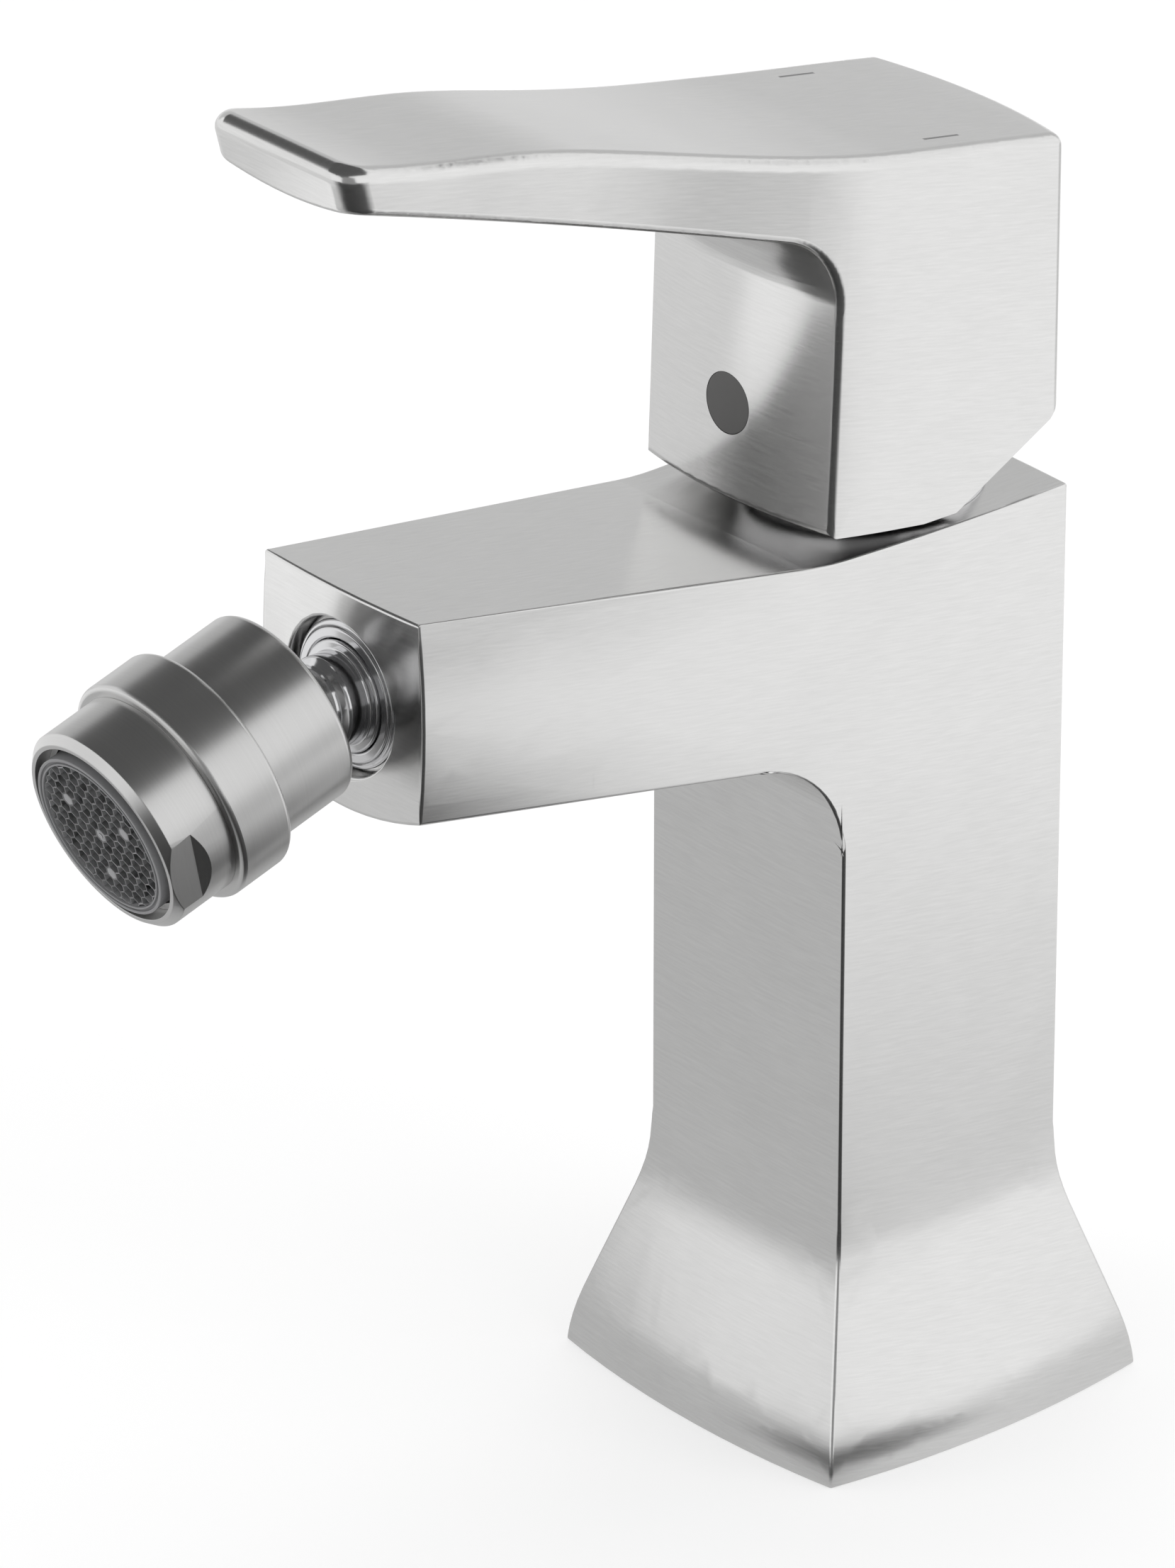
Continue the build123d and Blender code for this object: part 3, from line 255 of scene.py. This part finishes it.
def moulded(name, colour, rough):
    finish = Finish(name, Metallic=0.0)
    coordinates, _ = finish.place()
    skin = finish.noise(coordinates, GRAIN, detail=5.0)
    blotch = finish.noise(coordinates, BLOTCHES, detail=2.0)
    light = tuple(min(1.0, c * SKIN_GAIN + SKIN_OFFSET) for c in colour)
    share = skin * SKIN_SHARE + blotch * (1 - SKIN_SHARE)
    finish.feed("Base Color", finish.mix(share, paint(colour), paint(light)))
    finish.feed("Roughness", rough - ROUGH_SPREAD + skin * (2 * ROUGH_SPREAD))
    finish.bump(skin, GRAIN_STRENGTH, GRAIN_DEPTH)
    return finish.material


chrome = polished("chrome_polished", (0.72, 0.72, 0.73), rough=0.09)
brass = polished("brass_turned", (0.78, 0.6, 0.32), rough=0.16)
steel = polished("steel_plain", (0.6, 0.6, 0.6), rough=0.18)
ceramic = moulded("ceramic_ground", (0.86, 0.85, 0.82), rough=0.2)
plastic_pale = moulded("plastic_pale", (0.78, 0.78, 0.75), rough=0.45)
plastic_grey = moulded("plastic_grey", (0.26, 0.26, 0.265), rough=0.5)
plastic_insert = moulded("plastic_insert", (0.2, 0.2, 0.205), rough=0.42)
# The cell floor's near-black colour is painted shade for the depth behind the cells.
painted_shade_floor = moulded("cell_floor_painted_shade", (0.035, 0.035, 0.037), rough=0.5)
plug_grey = moulded("plug_dark_grey", (0.092, 0.091, 0.089), rough=0.5)
ink = moulded("stroke_ink", (0.15, 0.15, 0.15), rough=0.6)
rubber = moulded("rubber_black", (0.02, 0.02, 0.02), rough=0.75)
print("finishes so far", len(bpy.data.materials))

# %% [markdown]
# ## Smooth copies of the solids
# The measured solids arrive as loose triangles with hard facets. A copy is merged at
# its doubles, its edges get the small radius that polishing leaves, and only edges
# over a set angle stay sharp. Weighted normals then keep the large faces flat beside
# the rounded edges, so that their reflections stay straight. The copy stands for the
# solid.

# %% Smooth copies
MERGE = 2e-6                    # points closer than this are one
SLIVER = 1e-6                   # edges shorter than this go
FLAT = math.radians(0.6)        # faces that meet at less than this become one
CAST_EDGE = 0.0004              # radius that polishing leaves on the castings
TURNED_EDGE = 0.0003
THIN_EDGE = 0.0002
INSERT_EDGE = 0.00012
PLUG_EDGE = 0.0001


def dressed(node, material, body, radius, sharp=30.0, clamp=True):
    """A merged and rounded copy of a node, with its finish. Clamping keeps the rounding
    from crossing itself, but one very short edge then holds it back all over."""
    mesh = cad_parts[node].data.copy()
    mesh.name = node + "_smooth"
    shape = bmesh.new()
    shape.from_mesh(mesh)
    bmesh.ops.remove_doubles(shape, verts=shape.verts, dist=MERGE)
    bmesh.ops.dissolve_degenerate(shape, edges=shape.edges, dist=SLIVER)
    bmesh.ops.dissolve_limit(shape, angle_limit=FLAT, verts=shape.verts, edges=shape.edges)
    shape.to_mesh(mesh)
    shape.free()
    mesh.materials.clear()
    mesh.materials.append(material)
    piece = bpy.data.objects.new(node + "_skin", mesh)
    bpy.context.scene.collection.objects.link(piece)
    rounding = piece.modifiers.new("edge radius", "BEVEL")
    rounding.width = radius
    rounding.segments = 3
    rounding.limit_method = "ANGLE"
    rounding.angle_limit = math.radians(sharp)
    rounding.use_clamp_overlap = clamp
    mesh.shade_smooth()
    mesh.set_sharp_from_angle(angle=math.radians(sharp))
    weights = piece.modifiers.new("flat faces first", "WEIGHTED_NORMAL")
    weights.keep_sharp = True
    settled = bpy.data.meshes.new_from_object(
        piece.evaluated_get(bpy.context.evaluated_depsgraph_get()))
    piece.modifiers.clear()
    piece.data = settled
    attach(piece, body)
    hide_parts(node)
    print(node, "faces", len(piece.data.polygons))


dressed("body", nickel_spout, "casting", CAST_EDGE, clamp=False)
dressed("handle", nickel_lever, "lever", CAST_EDGE, sharp=40)
dressed("socket_body", nickel_round, "outlet", TURNED_EDGE, sharp=28)
dressed("aerator_housing", nickel_round, "outlet", THIN_EDGE, sharp=28)
dressed("dome_cover", chrome, "casting", THIN_EDGE)
dressed("ball_nipple", chrome, "casting", TURNED_EDGE)
dressed("nipple_collar", chrome, "collar", TURNED_EDGE)
dressed("indicator_plug", plug_grey, "lever", PLUG_EDGE)
dressed("aerator_insert", plastic_insert, "outlet", INSERT_EDGE)

# %% [markdown]
# ## Cell plate
# The plate at the outlet's mouth has thin hexagonal walls that straighten the water.
# It repeats one cell, so Geometry Nodes place it: a six-sided ring on each point of a
# staggered grid. The walls are real ones, because a picture of cells would look flat
# from the side.

# %% One cell on every point
CELL_PITCH = 0.00172
CELL_WALL = 0.00022
CELL_TURN = math.radians(-5)
HALF_CELL = math.radians(30)    # turns a six-sided ring from point up to side up
PLATE_DEPTH = 0.0012


def cell_tree():
    tree = bpy.data.node_groups.new("cell plate", "GeometryNodeTree")
    face = tree.interface
    face.new_socket("Geometry", in_out="OUTPUT", socket_type="NodeSocketGeometry")
    face.new_socket("Geometry", in_out="INPUT", socket_type="NodeSocketGeometry")
    for name, value in (("Pitch", CELL_PITCH), ("Wall", CELL_WALL),
                        ("Depth", PLATE_DEPTH)):
        face.new_socket(name, in_out="INPUT",
                        socket_type="NodeSocketFloat").default_value = value
    face.new_socket("Finish", in_out="INPUT", socket_type="NodeSocketMaterial")
    add, link = tree.nodes.new, tree.links.new
    given, result = add("NodeGroupInput"), add("NodeGroupOutput")
    path = add("GeometryNodeCurvePrimitiveCircle")
    path.inputs["Resolution"].default_value = 6
    size = add("ShaderNodeMath")
    size.operation = "MULTIPLY"
    size.inputs[1].default_value = 0.5 / math.cos(HALF_CELL)
    link(given.outputs["Pitch"], size.inputs[0])
    link(size.outputs[0], path.inputs["Radius"])
    profile = add("GeometryNodeCurvePrimitiveQuadrilateral")
    link(given.outputs["Wall"], profile.inputs["Width"])
    link(given.outputs["Depth"], profile.inputs["Height"])
    ring = add("GeometryNodeCurveToMesh")
    link(path.outputs["Curve"], ring.inputs["Curve"])
    link(profile.outputs["Curve"], ring.inputs["Profile Curve"])
    turn = add("GeometryNodeTransform")
    turn.inputs["Rotation"].default_value = (0, 0, HALF_CELL + CELL_TURN)
    link(ring.outputs["Mesh"], turn.inputs["Geometry"])
    copies = add("GeometryNodeInstanceOnPoints")
    link(given.outputs["Geometry"], copies.inputs["Points"])
    link(turn.outputs["Geometry"], copies.inputs["Instance"])
    real = add("GeometryNodeRealizeInstances")
    link(copies.outputs["Instances"], real.inputs["Geometry"])
    coat = add("GeometryNodeSetMaterial")
    link(real.outputs["Geometry"], coat.inputs["Geometry"])
    link(given.outputs["Finish"], coat.inputs["Material"])
    link(coat.outputs["Geometry"], result.inputs["Geometry"])
    return tree


# %% Where the cells stand
PLATE_RADIUS = 0.0098
RIM_REACH = 0.1             # of a pitch, how far past the rim a cell may have its centre
CLOSED_CELLS = [(0, 0), (2, 2), (2, -4), (-4, 2)]      # by row and by place in the row


def cell_centres():
    """Places of all cells in the plate, and of the closed ones among them."""
    count = int(PLATE_RADIUS / CELL_PITCH) + 2
    places, closed = [], []
    for row in range(-count, count + 1):
        for column in range(-2 * count, 2 * count + 1):
            x = (column + row / 2) * CELL_PITCH
            y = row * CELL_PITCH * math.sqrt(3) / 2
            if math.hypot(x, y) < PLATE_RADIUS + CELL_PITCH * RIM_REACH:
                turned = Vector((x, y, 0))
                turned.rotate(Euler((0, 0, CELL_TURN)))
                places.append(turned)
                if (row, column) in CLOSED_CELLS:
                    closed.append(turned)
    return places, closed


places, closed = cell_centres()
seeds = bpy.data.meshes.new("cell seeds")
seeds.from_pydata(places, [], [])
plate = bpy.data.objects.new("cell_plate", seeds)
bpy.context.scene.collection.objects.link(plate)
builder = plate.modifiers.new("cells", "NODES")
builder.node_group = cell_tree()
for item in builder.node_group.interface.items_tree:
    if item.name == "Finish":
        builder[item.identifier] = plastic_grey
walls = bpy.data.meshes.new_from_object(
    plate.evaluated_get(bpy.context.evaluated_depsgraph_get()))
plate.modifiers.clear()
plate.data = walls
print("cells", len(places), "of which closed", len(closed))

# %% [markdown]
# ## Rim, floor and closed cells of the plate
# The real plate is round, so the outer cells are cut by its rim: their points beyond
# the radius are drawn in to it. A dark floor behind the cells is painted shade: it stands
# for the shaded depth behind them. A few cells are closed, as on the real plate, and a
# small pin stands in the middle.

# %% Rim and floor of the plate
PLATE_PLACE = 0.0233        # from the ball's centre to the plate's front
LID_RADIUS, LID_TOP = 0.6 * CELL_PITCH, 0.47 * PLATE_DEPTH
PIN_RADIUS, PIN_TOP = 0.22 * CELL_PITCH, 0.55 * PLATE_DEPTH


def on_outlet(distance):
    """Turns a flat piece so that it looks out of the outlet, at a distance."""
    turned = outlet_axis.to_track_quat("Z", "Y").to_matrix().to_4x4()
    turned.translation = ball_centre + outlet_axis * distance
    return turned


def disc(shape, radius, low, high, centre=Vector(), sides=64, slot=0, turn=0.0):
    """A closed disc or prism in the plate."""
    rims = []
    for z in (low, high):
        rims.append([shape.verts.new((centre.x + radius * math.cos(2 * math.pi * k / sides + turn),
                                      centre.y + radius * math.sin(2 * math.pi * k / sides + turn),
                                      z))
                     for k in range(sides)])
    shape.faces.new(rims[0][::-1]).material_index = slot
    shape.faces.new(rims[1]).material_index = slot
    for k in range(sides):
        after = (k + 1) % sides
        side = shape.faces.new((rims[0][k], rims[0][after], rims[1][after], rims[1][k]))
        side.material_index = slot


shape = bmesh.new()
shape.from_mesh(walls)
for face in shape.faces:
    face.material_index = 0
for vert in shape.verts:
    out = vert.co.xy.length
    if out > PLATE_RADIUS:
        vert.co.xy *= PLATE_RADIUS / out
bmesh.ops.dissolve_degenerate(shape, edges=shape.edges, dist=SLIVER)
# The floor disc takes the second slot, whose near-black colour is painted shade.
disc(shape, PLATE_RADIUS, -PLATE_DEPTH, -PLATE_DEPTH / 2, slot=1)
for place in closed:
    disc(shape, LID_RADIUS, -PLATE_DEPTH / 2, LID_TOP, place, sides=6,
         turn=HALF_CELL + CELL_TURN)
disc(shape, PIN_RADIUS, -PLATE_DEPTH / 2, PIN_TOP, sides=24)
bmesh.ops.transform(shape, matrix=on_outlet(PLATE_PLACE - PLATE_DEPTH / 2), verts=shape.verts)
shape.to_mesh(walls)
shape.free()
walls.materials.clear()
for material in (plastic_grey, painted_shade_floor):
    walls.materials.append(material)
walls.shade_flat()
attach(plate, "outlet")
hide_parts("honeycomb")
print("cell plate faces", len(walls.polygons))

# %% [markdown]
# ## Finishes for the pieces that keep their solids
# Seals, discs, nuts and the cartridge are inside, seen only when the lever or the
# outlet moves, so their solids stay and only get their own materials. So do the two
# strokes on the lever, which are too thin for rounded edges.

# %% Inner pieces
INNER = {rubber: ["base_seals", "cartridge_o_ring", "nipple_gasket", "aerator_gasket",
                  "base_gasket"],
         brass: ["cartridge_nut", "seat_retainer", "stem"],
         steel: ["pivot_pin", "grub_screw", "flow_screen"],
         ceramic: ["fixed_disc", "moving_disc"],
         plastic_pale: ["cartridge_housing", "cartridge_base", "rotor", "disc_carrier",
                        "ball_seat"],
         ink: ["handle_marks"]}
for material, names in INNER.items():
    for name in names:
        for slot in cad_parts[name].material_slots:
            slot.material = material
print("pieces that keep their solids", sum(map(len, INNER.values())))

# %% [markdown]
# ## Floor and world
# The photograph has a white ground. Camera, glossy and transmission rays see a white
# world and a nearly white floor that keeps the mixer's shadow. The light on the mixer
# itself stays at a plain level, since the white comes from what the rays see.

# %% Floor and world
FLOOR = 3.0             # from the axis to the floor's edge
FLOOR_WHITE = 0.95
WHITE_SHARE = 0.55      # part of the floor that is plain white, the rest takes shadow
WORLD_LEVEL = 0.6
SQUARE = [(0, 1, 2, 3)]


def seen_white(tree):
    """One for rays from the camera, or off metal or through glass, else zero."""
    rays = tree.nodes.new("ShaderNodeLightPath")
    total = rays.outputs["Is Camera Ray"]
    for kind in ("Is Glossy Ray", "Is Transmission Ray"):
        either = tree.nodes.new("ShaderNodeMath")
        either.operation = "MAXIMUM"
        tree.links.new(total, either.inputs[0])
        tree.links.new(rays.outputs[kind], either.inputs[1])
        total = either.outputs[0]
    return total


def level_square(low, high, height):
    """Corners of a level square that reaches from low to high in both directions."""
    return [(low, low, height), (high, low, height), (high, high, height),
            (low, high, height)]


def grey(level):
    return (level, level, level, 1)


floor_mesh = bpy.data.meshes.new("floor")
floor_mesh.from_pydata(level_square(-FLOOR, FLOOR, 0), [], SQUARE)
floor = bpy.data.objects.new("floor", floor_mesh)
bpy.context.scene.collection.objects.link(floor)
floor_finish = Finish("floor_white", Roughness=0.9, Base_Color=grey(FLOOR_WHITE))
tree = floor_finish.material.node_tree
glow = tree.nodes.new("ShaderNodeEmission")
share = tree.nodes.new("ShaderNodeMath")
share.operation = "MULTIPLY"
share.inputs[1].default_value = WHITE_SHARE
blend = tree.nodes.new("ShaderNodeMixShader")
tree.links.new(seen_white(tree), share.inputs[0])
tree.links.new(share.outputs[0], blend.inputs["Fac"])
tree.links.new(floor_finish.shader.outputs[0], blend.inputs[1])
tree.links.new(glow.outputs[0], blend.inputs[2])
tree.links.new(blend.outputs[0], tree.nodes["Material Output"].inputs["Surface"])
floor_mesh.materials.append(floor_finish.material)

world = bpy.data.worlds.new("studio")
bpy.context.scene.world = world
world.use_nodes = True
tree = world.node_tree
tree.nodes.clear()
ground = tree.nodes.new("ShaderNodeBackground")
ground.inputs["Color"].default_value = grey(WORLD_LEVEL)
white = tree.nodes.new("ShaderNodeBackground")
white.inputs["Color"].default_value = grey(1)
pick = tree.nodes.new("ShaderNodeMixShader")
out = tree.nodes.new("ShaderNodeOutputWorld")
tree.links.new(seen_white(tree), pick.inputs["Fac"])
tree.links.new(ground.outputs[0], pick.inputs[1])
tree.links.new(white.outputs[0], pick.inputs[2])
tree.links.new(pick.outputs[0], out.inputs["Surface"])
print("floor to", FLOOR, "m, world level", WORLD_LEVEL)

# %% [markdown]
# ## Lamps
# Three large soft lamps light the plastics and the floor. The metal doesn't mirror
# them, because a bright lamp in a satin face would burn a white spot into it.

# %% Lamps
LAMP_AIM = Vector((0, 0, 0.1))


def softbox(name, place, width, height, power):
    light = bpy.data.lights.new(name, "AREA")
    light.shape = "RECTANGLE"
    light.size, light.size_y = width, height
    light.energy = power
    lamp = bpy.data.objects.new(name, light)
    lamp.location = place
    lamp.rotation_euler = (LAMP_AIM - Vector(place)).to_track_quat("-Z", "Y").to_euler()
    lamp.visible_glossy = False
    bpy.context.scene.collection.objects.link(lamp)


softbox("side softbox", (1.4, 0.5, 0.8), width=1.4, height=1.4, power=9)
softbox("top softbox", (-0.2, 0.3, 1.5), width=1.2, height=1.2, power=9)
softbox("front softbox", (-0.9, -1.2, 0.9), width=1.0, height=1.2, power=6)
print("lamps", [(light.name, light.energy) for light in bpy.data.lights])

# %% [markdown]
# ## Cards
# Satin metal shows its surroundings more than its lamps, so it is shaded as in a photo
# studio: with grey and dark cards that only reflections see. One on the floor shades
# the upright faces, and its dark part below the camera gives their edges thin dark
# lines. Those behind and above shade the tops, those beside the camera and in front
# keep faces that turn their way grey, and a small white one lights the lever's end.

# %% Cards
TO_CAMERA = Vector((0.767, -0.642))      # level direction from the axis
TO_RIGHT = Vector((-TO_CAMERA.y, TO_CAMERA.x))
TO_FRONT_LEFT = Vector((-0.767, -0.642))
CARD_FOOT = 0.002           # from the floor to an upright card's lower edge
FLOOR_CARD_HEIGHT = 0.0001
DARK_BELOW = 0.92           # share of the floor's level that is gone below the camera
DARK_PATCH = 0.4            # and in the patch for the lever's side


def card(name, corners, level):
    """A flat card of the stage that only reflections see. Its level is a number, or a
    function that works one out from the place on the card."""
    mesh = bpy.data.meshes.new(name)
    mesh.from_pydata(corners, [], SQUARE)
    piece = bpy.data.objects.new(name, mesh)
    bpy.context.scene.collection.objects.link(piece)
    finish = Finish(name, Roughness=1.0, Base_Color=grey(0), Specular_IOR_Level=0.0,
                    Emission_Strength=1.0)
    if callable(level):
        finish.feed("Emission Color", level(finish, *finish.place()[1]))
    else:
        finish.shader.inputs["Emission Color"].default_value = grey(level)
    mesh.materials.append(finish.material)
    piece.visible_camera = piece.visible_diffuse = piece.visible_shadow = False
    print("card", name)


def upright(name, direction, distance, half_width, top, level):
    """A card that stands on the floor and faces the axis."""
    foot, side = direction * distance, Vector((-direction.y, direction.x)) * half_width
    left, right = foot + side, foot - side
    card(name, [(left.x, left.y, CARD_FOOT), (right.x, right.y, CARD_FOOT),
                (right.x, right.y, top), (left.x, left.y, top)], level)


def floor_level(finish, x, y, z):
    """Brighter behind on the right, greyer in front on the left, dark below the camera,
    and a soft grey patch that the lever's side shows towards its tip."""
    out = finish.length(finish.vector(x, y, 0.0))
    right = (x * TO_RIGHT.x + y * TO_RIGHT.y) / out
    near = (x * TO_CAMERA.x + y * TO_CAMERA.y) / out
    left_level = finish.ramp(out, 0.2, 0.36, low=0.54, high=0.76)
    right_level = finish.ramp(out, 0.04, 0.26, low=0.72, high=1.0)
    level = left_level + (right_level - left_level) * finish.ramp(right, -0.4, 0.6)
    below = finish.ramp(near, 0.5, 0.85) * finish.ramp(out, 0.034, 0.05)
    patch = finish.ramp(right, 0.86, 0.97, low=1.0, high=0.0) * finish.ramp(out, 0.29, 0.34)
    patch = patch * finish.ramp(right, 0.5, 0.7)
    return level * (1.0 - below * DARK_BELOW) * (1.0 - patch * DARK_PATCH)


def back_level(finish, x, y, z):
    """Light near the horizon and greyer above."""
    return finish.ramp(z, 0.05, 0.45, low=0.9, high=0.6)


card("floor card", level_square(-FLOOR, FLOOR, FLOOR_CARD_HEIGHT), floor_level)
card("ceiling card", level_square(-1.3, 0.8, 1.0), level=0.1)
upright("camera card", TO_CAMERA, distance=1.1, half_width=0.5, top=1.0, level=0.3)
upright("back card", -TO_CAMERA, distance=1.2, half_width=1.1, top=1.3, level=back_level)
upright("front card", TO_FRONT_LEFT, distance=1.2, half_width=0.9, top=0.6, level=0.92)
card("tip card", [(-0.03, -0.1, 0.1), (-0.085, -0.1, 0.1), (-0.085, -0.16, 0.13),
                  (-0.03, -0.16, 0.13)], level=1.0)

# %% [markdown]
# ## Camera
# The photograph looks down on the mixer from its front right corner, from about
# 1.3 metres, with a long lens. A long lens from far away keeps the column's edges
# nearly parallel, as product photographs do.

# %% Camera
TURN, TILT = math.radians(50.07), math.radians(25.41)
DISTANCE = 1.3
AIM_ASIDE, AIM_HEIGHT = 0.0335, 0.0801      # the aim is left of the axis, above the deck
FOCAL_PIXELS, PHOTO_HEIGHT, SENSOR = 14742.0, 2212.0, 36.0
aim = Vector((-AIM_ASIDE * math.cos(TURN), -AIM_ASIDE * math.sin(TURN), AIM_HEIGHT))
look = Vector((-math.sin(TURN) * math.cos(TILT), math.cos(TURN) * math.cos(TILT),
               -math.sin(TILT)))
lens = bpy.data.cameras.new("camera")
lens.sensor_width = SENSOR
lens.lens = FOCAL_PIXELS / PHOTO_HEIGHT * SENSOR
camera = bpy.data.objects.new("camera", lens)
camera.location = aim - look * DISTANCE
camera.rotation_euler = look.to_track_quat("-Z", "Y").to_euler()
bpy.context.scene.collection.objects.link(camera)
bpy.context.scene.camera = camera
bpy.context.scene.view_settings.view_transform = "Standard"
print("lens", lens.lens, "mm")
